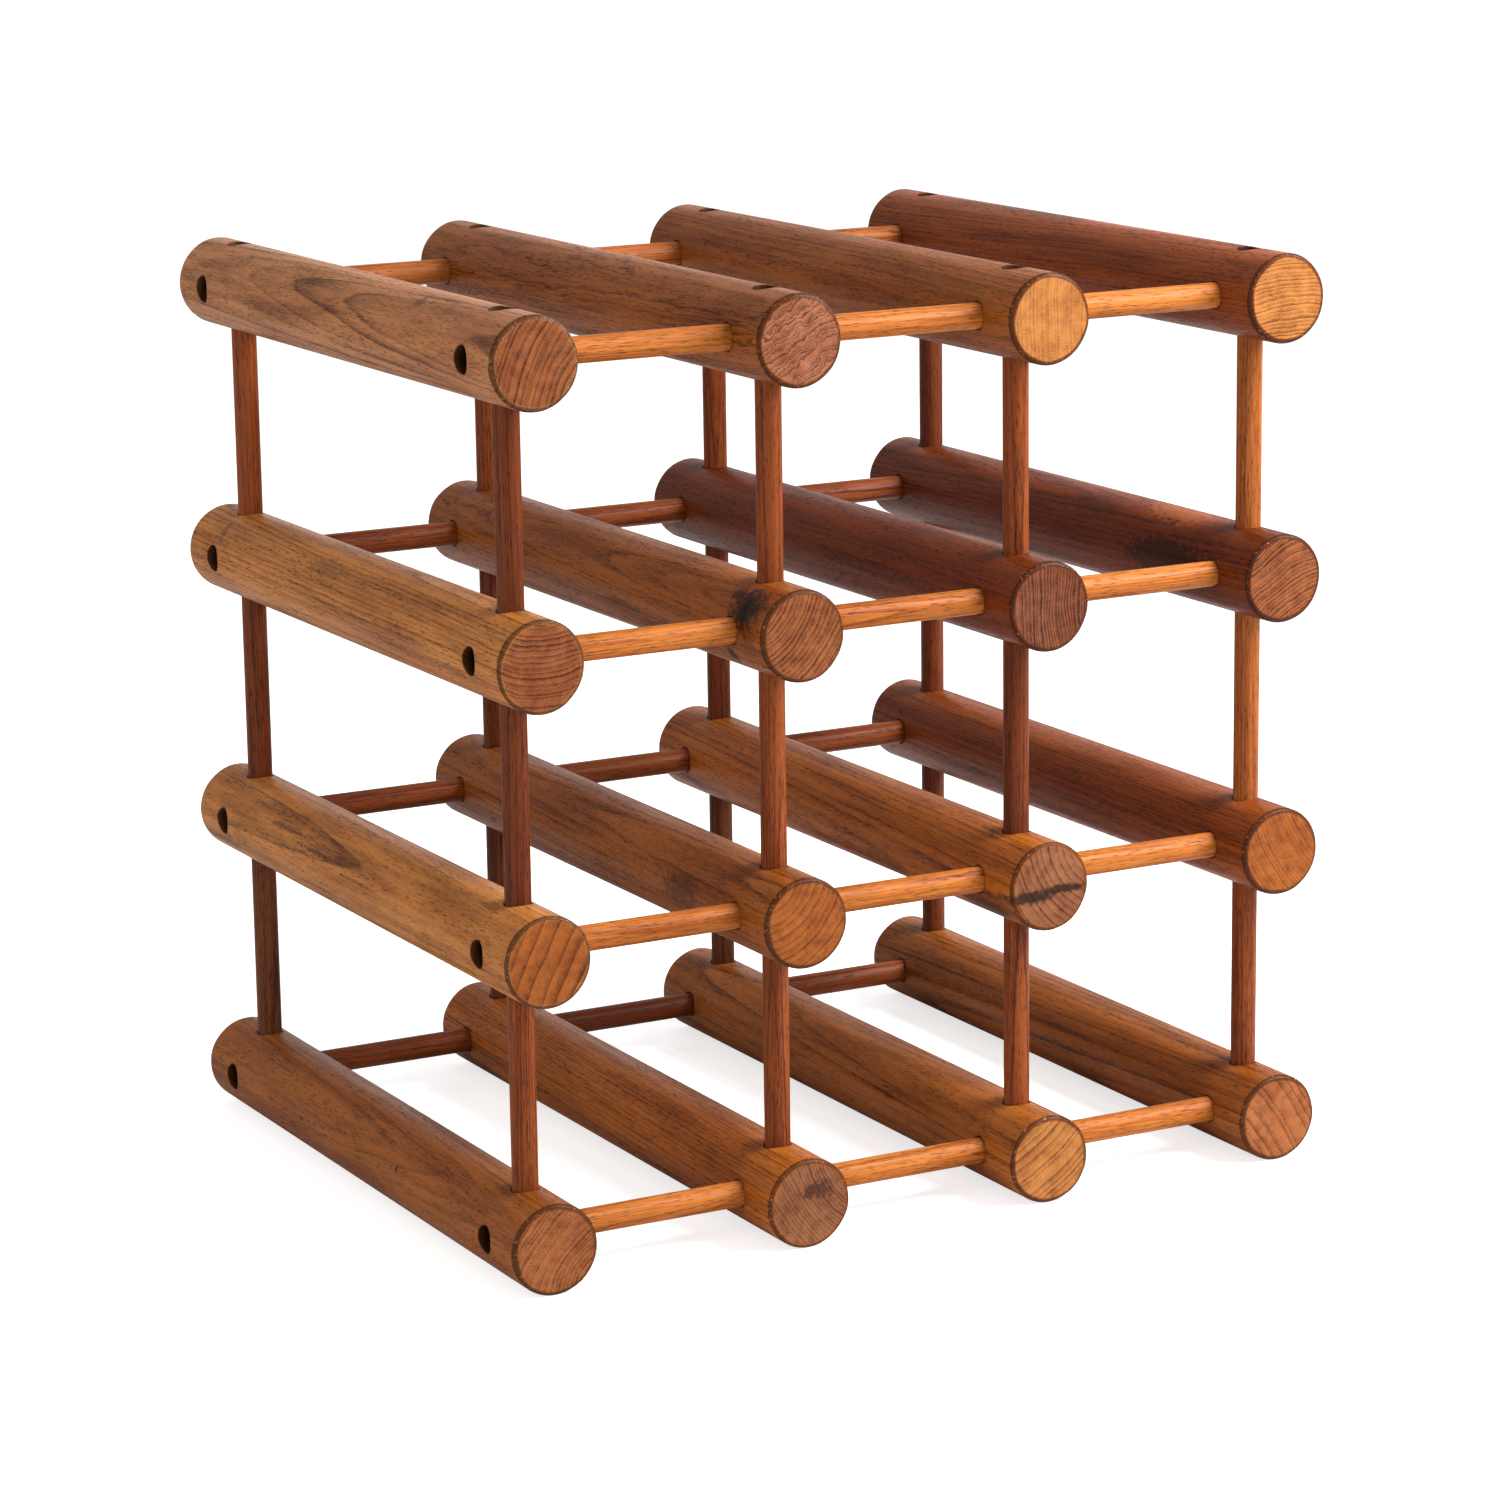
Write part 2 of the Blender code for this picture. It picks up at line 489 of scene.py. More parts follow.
    def pores(self, tree: bpy.types.NodeTree, place: bpy.types.NodeSocket,
              dark: bpy.types.NodeSocket) -> bpy.types.NodeSocket:
        """Give the open vessels: slim ellipsoids along the grain, wider at a ring's start.

        Args:
            tree: Node tree to add to.
            place: Place in the log, in millimetres.
            dark: How dark the ring is.

        Returns:
            1 in a vessel and 0 outside, with a soft border.
        """
        vector = self.stretched(tree, place, self.PORE_CELL_MM)
        far = add(tree, "TexVoronoi", {"Vector": vector, "Scale": 1.0}, output="Distance")
        patch = self.noise(tree, place, self.PORE_PATCH_MM, 2.0)
        spread = {"Value": patch, "From Min": 0.32, "From Max": 0.68,
                  "To Min": self.PORE_THIN, "To Max": self.PORE_THICK}
        base = add(tree, "MapRange", spread)
        widen = {0: dark, 1: self.PORE_EARLY, 2: base}
        outer = add(tree, "Math", widen, operation="MULTIPLY_ADD")
        inner = add(tree, "Math", {0: outer, 1: self.PORE_CORE}, operation="MULTIPLY")
        limits = {"Value": far, "From Min": inner, "From Max": outer, "To Min": 1.0,
                  "To Max": 0.0}
        return add(tree, "MapRange", limits, interpolation_type="SMOOTHSTEP")

    def toned(self, tree: bpy.types.NodeTree, tone: Tone, dark: bpy.types.NodeSocket,
              texture: bpy.types.NodeSocket) -> bpy.types.NodeSocket:
        """Mix a tone's two colours by the rings and by finer texture.

        Args:
            tree: Node tree to add to.
            tone: The two colours.
            dark: How dark the ring is.
            texture: How much darker the finer texture makes the wood.

        Returns:
            The colour.
        """
        ringed = {0: dark, 1: tone.contrast, 2: texture}
        shade = add(tree, "Math", ringed, operation="MULTIPLY_ADD")
        mixing = {FACTOR: shade, GROUND: linear(tone.ground), COVER: linear(tone.ring)}
        return add(tree, "Mix", mixing, output=MIXED, data_type="RGBA")

    def spotted(self, tree: bpy.types.NodeTree, colour: bpy.types.NodeSocket,
                blemish: Blemish, middle: Vector) -> bpy.types.NodeSocket:
        """Lay one blemish over a colour, in an ellipsoid with a torn border.

        Args:
            tree: Node tree to add to.
            colour: The colour so far.
            blemish: The blemish.
            middle: Middle of the piece that it is on.

        Returns:
            The colour with the blemish.
        """
        place = add(tree, "TexCoord", output="Object")
        centre = middle + Vector(blemish.place_mm) * MM
        offset = add(tree, "VectorMath", {0: place, 1: centre}, operation="SUBTRACT")
        scale = [1 / (size * MM) for size in blemish.size_mm]
        unit = add(tree, "VectorMath", {0: offset, 1: scale}, operation="MULTIPLY")
        far = add(tree, "VectorMath", {0: unit}, output="Value", operation="LENGTH")
        cells_per_metre = 420.0
        grain = {"Vector": offset, "Scale": cells_per_metre, "Detail": 3.0}
        tear = add(tree, "TexNoise", grain)
        torn = {0: tear, 1: 2 * blemish.ragged, 2: far}
        reach = add(tree, "Math", torn, operation="MULTIPLY_ADD")
        soft = {"Value": reach, "From Min": 0.5 + blemish.ragged,
                "From Max": 1.05 + blemish.ragged, "To Min": blemish.strength, "To Max": 0.0}
        cover = add(tree, "MapRange", soft, interpolation_type="SMOOTHSTEP")
        layers = {FACTOR: cover, GROUND: colour, COVER: linear(blemish.colour)}
        return add(tree, "Mix", layers, output=MIXED, data_type="RGBA")

    def wood_colour(self, tree: bpy.types.NodeTree, figure: dict[str, bpy.types.NodeSocket],
                    end_grain: bpy.types.NodeSocket) -> bpy.types.NodeSocket:
        """Give the colour of clean wood: its two tones, redder clouds and dark pores.

        Args:
            tree: Node tree to add to.
            figure: The ring's darkness, the fibre, streak, cloud and pore patterns, and the
                share of texture that shows.
            end_grain: Whether a point lies on end grain.

        Returns:
            The colour.
        """
        texture = self.TEXTURE_BASE
        gains = {"streak": self.STREAK_GAIN, "fibre": self.fibre_gain, "cloud": self.CLOUD_GAIN}
        for pattern, gain in gains.items():
            centred = add(tree, "Math", {0: figure[pattern], 1: -0.5}, operation="ADD")
            more = {0: centred, 1: gain, 2: texture}
            texture = add(tree, "Math", more, operation="MULTIPLY_ADD")
        texture = add(tree, "Math", {0: texture, 1: figure["share"]}, operation="MULTIPLY")
        along = self.toned(tree, self.side, figure["ring"], texture)
        across = self.toned(tree, self.end, figure["ring"], texture)
        layers = {FACTOR: end_grain, GROUND: along, COVER: across}
        colour = add(tree, "Mix", layers, output=MIXED, data_type="RGBA")
        warm = {"Value": figure["cloud"], "From Min": 0.42, "From Max": 0.72, "To Min": 0.0,
                "To Max": self.glow}
        warmth = add(tree, "MapRange", warm, interpolation_type="SMOOTHSTEP")
        layers = {FACTOR: warmth, GROUND: colour, COVER: linear(self.HEARTWOOD)}
        colour = add(tree, "Mix", layers, output=MIXED, data_type="RGBA")
        pored = {0: figure["pore"], 1: self.pore_strength}
        layers = {FACTOR: add(tree, "Math", pored, operation="MULTIPLY"), GROUND: colour,
                  COVER: linear(self.PORE)}
        return add(tree, "Mix", layers, output=MIXED, data_type="RGBA")

    def worn_colour(self, tree: bpy.types.NodeTree, colour: bpy.types.NodeSocket,
                    place: bpy.types.NodeSocket) -> bpy.types.NodeSocket:
        """Lay dirt and rubbed spots over the arrises, and darkness over the sockets.

        Args:
            tree: Node tree to add to.
            colour: The wood's own colour.
            place: Place in the log, in millimetres.

        Returns:
            The colour with its wear and painted shade.
        """
        wear = add(tree, "Attribute", output="Fac", attribute_name="worn_edge")
        hollow = add(tree, "Attribute", output="Fac", attribute_name="socket_depth")
        rub = self.noise(tree, place, self.RUB_MM, 3.0)
        rubbed = {"Value": rub, "From Min": 0.6, "From Max": 0.7, "To Min": 0.0, "To Max": 0.7}
        bare = add(tree, "MapRange", rubbed, interpolation_type="SMOOTHSTEP")
        # The arris's colour: dirt darkened further as painted shade, broken by rubbed spots of bare
        # wood
        rim = {FACTOR: bare, GROUND: linear(self.ARRIS_DIRT_AND_SHADE), COVER: linear(self.RUBBED)}
        rim_dirt_and_shade_colour = add(tree, "Mix", rim, output=MIXED, data_type="RGBA")
        rim_dirt_and_shade_cover = add(tree, "Math", {0: wear, 1: self.RIM_COVER}, operation="MULTIPLY")
        layers = {FACTOR: rim_dirt_and_shade_cover, GROUND: colour, COVER: rim_dirt_and_shade_colour}
        colour = add(tree, "Mix", layers, output=MIXED, data_type="RGBA")
        # Painted shade, over darker raw wood, inside the sockets
        layers = {FACTOR: hollow, GROUND: colour, COVER: linear(self.SOCKET)}
        return add(tree, "Mix", layers, output=MIXED, data_type="RGBA")

    def material(self, middle: Vector) -> bpy.types.Material:
        """Build the wood of one piece.

        Args:
            middle: Middle of the piece, from which its blemishes are placed.

        Returns:
            The material.
        """
        material = bpy.data.materials.new(self.name)
        material.use_nodes = True
        tree = material.node_tree
        tree.nodes.clear()
        place = add(tree, "Attribute", output="Vector", attribute_name="log_mm")
        end_grain = add(tree, "Attribute", output="Fac", attribute_name="end_grain")

        share = add(tree, "MapRange", {"Value": end_grain, "To Min": 1.0, "To Max": self.END_SHARE})
        ring = self.ring_dark(tree, self.ring_count(tree, place))
        fibre = self.noise(tree, place, self.FIBRE_MM, 2.0)
        streak = self.noise(tree, place, self.STREAK_MM, 3.0)
        cloud = self.noise(tree, place, self.CLOUD_MM, 2.0)
        vessels = {0: self.pores(tree, place, ring), 1: share}
        pore = add(tree, "Math", vessels, operation="MULTIPLY")
        figure = {"ring": ring, "fibre": fibre, "streak": streak, "cloud": cloud, "pore": pore,
                  "share": share}
        colour = self.wood_colour(tree, figure, end_grain)
        for blemish in self.blemishes:
            colour = self.spotted(tree, colour, blemish, middle)
        colour = self.worn_colour(tree, colour, place)

        pits = {0: pore, 1: self.PORE_RELIEF, 2: fibre}
        relief = add(tree, "Math", pits, operation="MULTIPLY_ADD")
        dips = {0: ring, 1: self.RING_RELIEF, 2: relief}
        relief = add(tree, "Math", dips, operation="MULTIPLY_ADD")
        bump = {"Height": relief, "Strength": self.RELIEF_STRENGTH, "Distance": self.RELIEF}
        normal = add(tree, "Bump", bump, output="Normal")
        duller = {0: pore, 1: self.PORE_MATT, 2: self.SATIN}
        matt = add(tree, "Math", duller, operation="MULTIPLY_ADD")
        uneven = {0: streak, 1: self.STREAK_MATT, 2: matt}
        matt = add(tree, "Math", uneven, operation="MULTIPLY_ADD")
        shader = {"Base Color": colour, "Roughness": matt, "Normal": normal, "IOR": 1.45,
                  "Specular IOR Level": self.GLOSS}
        surface = add(tree, "BsdfPrincipled", shader)
        tree.links.new(surface, tree.nodes.new("ShaderNodeOutputMaterial").inputs["Surface"])
        return material


# ---------------------------------------------------------------- the pieces


@dataclass(frozen=True)
class Stock:
    """A piece's wood: its cut from the log and its finish."""

    cut: Cut
    finish: OiledTeak


def build_object(name: str, skin: Skin, origin: Vector, log: np.ndarray | None,
                 stock: Stock) -> bpy.types.Object:
    """Make a piece's object from its skin, with its place in its mesh.

    Args:
        name: Name of the piece.
        skin: Its surface about its own middle.
        origin: Where its middle goes.
        log: Matrix that turns the piece's own directions into across, along and up.
        stock: Its wood.

    Returns:
        The object, at the origin, unturned and unscaled.
    """
    points, marks, faces = skin.welded()
    mesh = bpy.data.meshes.new(name)
    mesh.from_pydata((points + np.array(origin)).tolist(), [], faces)
    across, along, up = (points if log is None else points @ log).T
    place = mesh.attributes.new("log_mm", "FLOAT_VECTOR", "POINT")
    place.data.foreach_set("vector", stock.cut.log_place(across, up, along).ravel())
    for column, attribute in enumerate(("worn_edge", "socket_depth", "end_grain")):
        layer = mesh.attributes.new(attribute, "FLOAT", "POINT")
        layer.data.foreach_set("value", marks[:, column].astype(np.float32))
    shape = bmesh.new()
    shape.from_mesh(mesh)
    bmesh.ops.recalc_face_normals(shape, faces=shape.faces)
    shape.to_mesh(mesh)
    shape.free()
    mesh.shade_smooth()
    mesh.materials.append(stock.finish.material(origin))
    piece = bpy.data.objects.new(name, mesh)
    bpy.context.scene.collection.objects.link(piece)
    return piece


@dataclass
class TurnedBar:
    """A round bar with four blind sockets at each end.

    The round side is unrolled into a strip. Round each socket a square patch blends from
    the socket's rim, which is where its bore meets the round side, out to the square, and
    four such patches close the strip. Plain rings fill the rest.

    Attributes:
        name: Name of the bar.
        middle: Middle of its axis.
        stock: Its wood.
        seed: Seed of the wear on its arrises.
        radius: Radius of the round side.
        length: Distance between its ends.
        socket_from_end: From an end to the sockets' axes.
        socket_radius: Radius of a socket.
        socket_floor: From the bar's axis to a socket's floor.
        arris: Usual radius of the rounded arris at an end.
        lip: Radius of the rounded lip of a socket.
    """

    name: str
    middle: Vector
    stock: Stock
    seed: int
    radius: float = 17.5 * MM
    length: float = 295 * MM
    socket_from_end: float = 25 * MM
    socket_radius: float = 5.3 * MM
    socket_floor: float = 6.5 * MM
    arris: float = 1.7 * MM
    lip: float = 0.3 * MM

    SPANS = 16  # facets along one side of a socket's square patch
    # Share of the arris's dirt, rubbed spots and painted shade that a socket's lip gets: a dark
    # line of painted shade where a dowel enters
    LIP_DIRT_AND_SHADE = 0.5

    @property
    def socket_y(self) -> float:
        """Distance of the sockets from the bar's middle."""
        return self.length / 2 - self.socket_from_end

    @property
    def patch(self) -> float:
        """Half the side of a socket's square patch: an eighth of the way round the bar."""
        return math.pi * self.radius / 4

    def fan(self) -> np.ndarray:
        """Directions round a socket, closed, starting at a corner of its square."""
        return np.linspace(-np.pi / 4, 7 * np.pi / 4, 4 * self.SPANS + 1)

    def rolled(self, strip: np.ndarray, y: np.ndarray) -> np.ndarray:
        """Roll points of the unrolled strip onto the bar.

        The turn is the distance along the strip over the radius, and a point's place is the
        radius times the cosine and the sine of the turn.

        Args:
            strip: Distances round the bar, from its right side upwards.
            y: Places along the bar.

        Returns:
            The points, in a new last axis.
        """
        turn = strip / self.radius
        y = np.broadcast_to(y, turn.shape)
        return np.stack([self.radius * np.cos(turn), y, self.radius * np.sin(turn)], axis=-1)

    def add_socket(self, skin: Skin, quarter: int, end: End) -> None:
        """Add one socket and the square patch of the round side about it.

        The patch mixes the rim, a circle seen along the bore's axis, with a square on the
        strip. The lip is a quarter circle from the rim into the bore. The wall is straight
        lines along the bore, and the floor is shrinking circles.

        Args:
            skin: Surface to add to.
            quarter: Side that the socket faces, in quarter turns from the right.
            end: End of the bar that it is at.
        """
        fan = self.fan()
        sine, cosine = np.sin(fan), np.cos(fan)
        y_middle = end.value * self.socket_y

        def bored(radius: np.ndarray, sink: np.ndarray) -> np.ndarray:
            """Give points about the bore's axis: circles seen along it, on the round side.

            Args:
                radius: Radius of each circle.
                sink: How far each circle lies below the round side.

            Returns:
                The points, of shape (circles, places round, 3).
            """
            z = radius[:, None] * sine
            x = np.sqrt(self.radius**2 - z**2) - sink[:, None]
            return np.stack([x, y_middle + radius[:, None] * cosine, z], axis=-1)

        rim = self.socket_radius + self.lip
        blend = np.concatenate([[0, 0.015], np.linspace(0.06, 1, 9)])[:, None]
        square = self.patch / np.maximum(np.abs(sine), np.abs(cosine))
        rim_strip = self.radius * np.arcsin(rim * sine / self.radius)
        strip = (1 - blend) * rim_strip + blend * square * sine
        y = y_middle + (1 - blend) * rim * cosine + blend * square * cosine
        # The patch's border at the rim takes the lip's dirt and painted shade.
        worn_share = 0.03
        edge = np.clip(1 - blend / worn_share, 0, 1) * self.LIP_DIRT_AND_SHADE
        skin.add(quarter_turned(self.rolled(strip, y), quarter), edge=edge)

        tip = np.linspace(0, np.pi / 2, 5)
        sink = self.lip * (1 - np.cos(tip))
        grid = bored(self.socket_radius + self.lip * (1 - np.sin(tip)), sink)
        # Painted shade in the socket: it grows round the lip and deepens down the wall to the
        # floor.
        depth_at_lip = 0.7
        hollow = (depth_at_lip * tip / (np.pi / 2))[:, None]
        skin.add(quarter_turned(grid, quarter), edge=self.LIP_DIRT_AND_SHADE, hollow=hollow)

        wall = bored(np.full(1, self.socket_radius), np.array([self.lip]))
        floor = wall.copy()
        floor[..., 0] = self.socket_floor
        down = np.linspace(0, 1, 6)[:, None, None]
        depth = np.minimum(1, depth_at_lip + down[..., 0])
        skin.add(quarter_turned(wall + (floor - wall) * down, quarter), hollow=depth)

        inward = np.array([1.0, 0.97, 0.6, 0.0])[:, None]
        z = self.socket_radius * inward * sine
        y = y_middle + self.socket_radius * inward * cosine
        x = np.full_like(z, self.socket_floor)
        skin.add(quarter_turned(np.stack([x, y, z], axis=-1), quarter), hollow=1.0)

    def around(self) -> np.ndarray:
        """Distances of the rings' points round the strip, to match the square patches."""
        side = self.patch * np.tan(np.linspace(-np.pi / 4, np.pi / 4, self.SPANS + 1))
        return np.concatenate([side[:-1] + 2 * self.patch * q for q in range(4)] + [side[:1]])

    def add_barrel(self, skin: Skin) -> None:
        """Add the plain rings between the two groups of sockets.

        Args:
            skin: Surface to add to.
        """
        reach = self.socket_y - self.patch
        y = np.linspace(-reach, reach, 41)[:, None]
        skin.add(self.rolled(np.broadcast_to(self.around(), (len(y), 4 * self.SPANS + 1)), y))

    def add_end(self, skin: Skin, end: End) -> None:
        """Add the rings past the sockets, the rounded arris and the flat end.

        The arris is a quarter circle whose radius wobbles a little round the bar, as
        handling wears it. The flat end is shrinking circles.

        Args:
            skin: Surface to add to.
            end: End of the bar to add.
        """
        strip = self.around()
        turn = strip / self.radius
        wobble = 0.2
        arris = self.arris * (1 + wobble * ripple(turn, self.seed + end.value))
        arris[-1] = arris[0]
        near = self.socket_y + self.patch
        share = np.linspace(0, 1, 5)[:, None]
        y = near + share * (self.length / 2 - arris - near)
        skin.add(self.rolled(np.broadcast_to(strip, y.shape), end.value * y))

        bend = np.linspace(0, np.pi / 2, 7)[:, None]
        inset = arris * (1 - np.cos(bend))
        y = self.length / 2 - arris * (1 - np.sin(bend))
        # Dirt and painted shade over the arris, strongest just past the round side
        wear = np.interp(bend, [0, 0.15, 1.3, 1.57], [0.1, 1, 0.9, 0.4])
        edge = np.broadcast_to(wear, y.shape)
        skin.add(self.ringed(turn, self.radius - inset, end.value * y), edge=edge)

        share = np.array([1, 0.975, 0.9, 0.75, 0.6, 0.45, 0.3, 0.15, 0])[:, None]
        radius = share * (self.radius - arris)
        y = np.full_like(radius, end.value * self.length / 2)
        # The end's outer circle takes some of the arris's dirt and painted shade
        skin.add(self.ringed(turn, radius, y), edge=np.where(share == 1, 0.4, 0), end_grain=1)

    def ringed(self, turn: np.ndarray, radius: np.ndarray, y: np.ndarray) -> np.ndarray:
        """Give points on circles round the bar's axis.

        Args:
            turn: Angles round the axis.
            radius: Radii of the circles.
            y: Places along the bar.

        Returns:
            The points, in a new last axis.
        """
        return np.stack([radius * np.cos(turn), y, radius * np.sin(turn)], axis=-1)

    def build(self) -> bpy.types.Object:
        """Build the bar.

        Returns:
            Its object.
        """
        skin = Skin()
        for end in End:
            for quarter in range(4):
                self.add_socket(skin, quarter, end)
            self.add_end(skin, end)
        self.add_barrel(skin)
        return build_object(self.name, skin, self.middle, None, self.stock)


@dataclass
class PushDowel:
    """A short dowel with rounded ends, turned about its own axis and then laid in place.

    Attributes:
        name: Name of the dowel.
        middle: Its middle.
        lie: How it lies in the rack.
        stock: Its wood.
        radius: Its radius.
        length: Its length.
        tip: Radius of its rounded tips.
    """

    name: str
    middle: Vector
    lie: Lie
    stock: Stock
    radius: float = 5.0 * MM
    length: float = 93 * MM
    tip: float = 0.8 * MM

    SPANS = 32

    def build(self) -> bpy.types.Object:
        """Build the dowel: circles along its axis, quarter-round tips and flat ends.

        Each point is a radius times the cosine and sine of its turn. The radius follows a
        profile along the axis, and shrinks to nothing at both ends.

        Returns:
            Its object.
        """
        bend = np.linspace(0, np.pi / 2, 5)
        tip_y = self.length / 2 - self.tip * (1 - np.sin(bend))
        tip_radius = self.radius - self.tip * (1 - np.cos(bend))
        body_y = np.linspace(-1, 1, 15)[1:-1] * (self.length / 2 - self.tip)
        flat_y = tip_y[[-1, -1]]
        flat_radius = tip_radius[-1] * np.array([0.6, 0])
        half_y = np.concatenate([tip_y, flat_y])
        half_radius = np.concatenate([tip_radius, flat_radius])
        y = np.concatenate([-half_y[::-1], body_y, half_y])
        body_radius = np.full(len(body_y), self.radius)
        radius = np.concatenate([half_radius[::-1], body_radius, half_radius])
        turn = np.linspace(0, 2 * np.pi, self.SPANS + 1)
        y, radius = y[:, None], radius[:, None]
        grid = np.stack([radius * np.cos(turn), y + 0 * turn, radius * np.sin(turn)], axis=-1)
        skin = Skin()
        skin.add(grid @ self.laid().T)
        return build_object(self.name, skin, self.middle, self.laid(), self.stock)

    def laid(self) -> np.ndarray:
        """Give the matrix that lays the dowel, drawn along Y, along X or Z.

        Returns:
            The matrix, to multiply a column vector.
        """
        if self.lie is Lie.ACROSS:
            return np.array([[0.0, 1, 0], [-1, 0, 0], [0, 0, 1]])
        return np.array([[1.0, 0, 0], [0, 0, -1], [0, 1, 0]])


# ---------------------------------------------------------------- the rack


@dataclass
class WineRack:
    """All the rack's pieces, placed by the CAD model's own boxes.

    Attributes:
        bars: Wood of each bar, by row and column.
        across: Wood of each dowel across, by end, row and gap.
        uprights: Wood of each upright, by end, column and gap.
        glued: End and gap at which the CAD model joins an upright to the bar below it.
    """

    bars: dict[tuple[int, int], Stock]
    across: dict[tuple[End, int, int], Stock]
    uprights: dict[tuple[End, int, int], Stock]
    glued: tuple[End, int] = (End.REAR, 1)

    def bar_middle(self, row: int, column: int) -> Vector:
        """Give the middle of a bar by its CAD box, whose lowest face is its underside.

        Args:
            row: Row from the bottom.
            column: Column from the left.

        Returns:
            The middle of the bar's axis.
        """
        low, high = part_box(f"bar_row{row}_col{column}")
        radius = (high.x - low.x) / 2
        return Vector(((low.x + high.x) / 2, (low.y + high.y) / 2, low.z + radius))

    def tied(self, piece: bpy.types.Object, node: str) -> bpy.types.Object:
        """Tie a piece to the body, and hide the CAD node that it stands for.

        Args:
            piece: The piece.
            node: Name of the CAD node.

        Returns:
            The same piece.
        """
        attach(piece, BODY)
        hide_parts(node)
        return piece

    def build_bars(self) -> Iterator[bpy.types.Object]:
        """Build the turned bars.

        Yields:
            Each bar.
        """
        for (row, column), stock in self.bars.items():
            node = f"bar_row{row}_col{column}"
            seed = 10 * row + column
            bar = TurnedBar(f"turned_{node}", self.bar_middle(row, column), stock, seed)
            yield self.tied(bar.build(), node)

    def build_across_dowels(self) -> Iterator[bpy.types.Object]:
        """Build the dowels between neighbouring bars of a row.

        Yields:
            Each dowel.
        """
        for (end, row, gap), stock in self.across.items():
            node = f"across_dowel_{end.name.lower()}_row{row}_gap{gap}"
            low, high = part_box(node)
            dowel = PushDowel(f"turned_{node}", (low + high) / 2, Lie.ACROSS, stock)
            yield self.tied(dowel.build(), node)

    def build_upright_dowels(self) -> Iterator[bpy.types.Object]:
        """Build the dowels between neighbouring bars of a column.

        One end's lowest uprights are part of the bars below them in the CAD model, so
        their place comes from the upright at the other end.

        Yields:
            Each upright.
        """
        for (end, column, gap), stock in self.uprights.items():
            name = f"upright_dowel_{end.name.lower()}_col{column}_gap{gap}"
            low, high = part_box(f"upright_dowel_front_col{column}_gap{gap}")
            middle = (low + high) / 2
            middle.y *= -end.value
            node = f"bar_row{gap}_col{column}" if (end, gap) == self.glued else name
            dowel = PushDowel(f"turned_{name}", middle, Lie.UPRIGHT, stock)
            yield self.tied(dowel.build(), node)

    def build(self) -> Iterator[bpy.types.Object]:
        """Build the bars, the dowels across and the uprights.

        Yields:
            Each piece.
        """
        yield from self.build_bars()
        yield from self.build_across_dowels()
        yield from self.build_upright_dowels()


# Each bar's knots, stains and smudges, by row from the bottom and column from the left
BLEMISHES = {
    (3, 2): (
        Blemish((-7, -128, 16), (9, 18, 8), "8a3f12", 0.5, 0.9),
        Blemish((-12, -137, 4), (10, 10, 15), "4a200f", 0.5, 0.8),
        Blemish((-13, -130, 8), (10, 13, 12), "28120a", 0.92, 0.65),
        Blemish((-13, -120, 13), (5, 5, 3), "200e08", 0.75, 0.7),
        Blemish((-15.5, -130, 8), (6, 3.0, 6.5), "060302", 0.98, 0.45),
        Blemish((-14, -119, -10), (6, 4, 4), "0d0604", 0.9, 0.5),
    ),
    (2, 3): (
        Blemish((-9, -147.5, -3.0), (13, 16, 3.0), "150b08", 0.85, 0.55),
        Blemish((6, -147.5, -1.2), (13, 16, 2.2), "150b08", 0.85, 0.6),
        Blemish((-14, -121, -11), (8, 22, 6), "1e0f09", 0.7, 0.7),
    ),
    (3, 4): (
        Blemish((-3, -82, 17), (9, 26, 9), "9a5220", 0.6, 0.9),
        Blemish((-16, -90, 1), (9, 36, 10), "241009", 0.75, 0.7),
        Blemish((-10, -30, 14), (7, 22, 7), "2b130a", 0.5, 0.9),
    ),
    (2, 2): (
        Blemish((-15, -78, 0), (8, 18, 8), "2c160d", 0.55, 0.9),
    ),
    (1, 2): (
        Blemish((3, -147.5, 5), (9, 10, 4), "191210", 0.6, 0.95),
    ),
    (3, 1): (
        Blemish((-13, 118, 12), (5, 3, 7), "39383d", 0.5, 0.9),
        Blemish((-13, 15, 12), (6, 20, 5), "2f211a", 0.35, 1.0),
    ),
    (2, 1): (
        Blemish((-15, 60, 9.5), (5, 22, 1.1), "2e170c", 0.6, 0.9),
        Blemish((-16, 22, 6.5), (5, 26, 1.0), "2e170c", 0.65, 0.9),
        Blemish((-17, -12, 3.5), (5, 20, 0.9), "2e170c", 0.5, 0.9),
    ),
    (1, 1): (
        Blemish((-17, -42, 5), (3, 1.6, 1.6), "120b08", 0.8, 0.5),
    ),
    (4, 1): (
        Blemish((-9, -72, 15), (5, 4, 3), "22120b", 0.5, 0.8),
    ),
}


class BarWood(Enum):
    """The tones of the bars' teak, each with its ground and ring colours.

    The first seven are for round sides. The others are for end grain, which drinks more oil
    and is redder where the rings are close.
    """

    FAWN = ("b87848", "583420")
    TAWNY = ("be7838", "5a3418")
    CARAMEL = ("b06222", "54280c")
    HAZEL = ("a45e24", "4c260c")
    NUT = ("985520", "462208")
    RUST = ("8c4418", "421c06")
    LIVER = ("763412", "341204")
    GOLD = ("b4743c", "6a3c18")
    SAND = ("a05e34", "42200e")
    ORANGE = ("9c5622", "48200a")
    BLUSH = ("a06448", "34160e")
    BRICK = ("92542f", "36180e")
    PLUM = ("8e5a3a", "341a14")
    UMBER = ("7c4830", "2a120a")


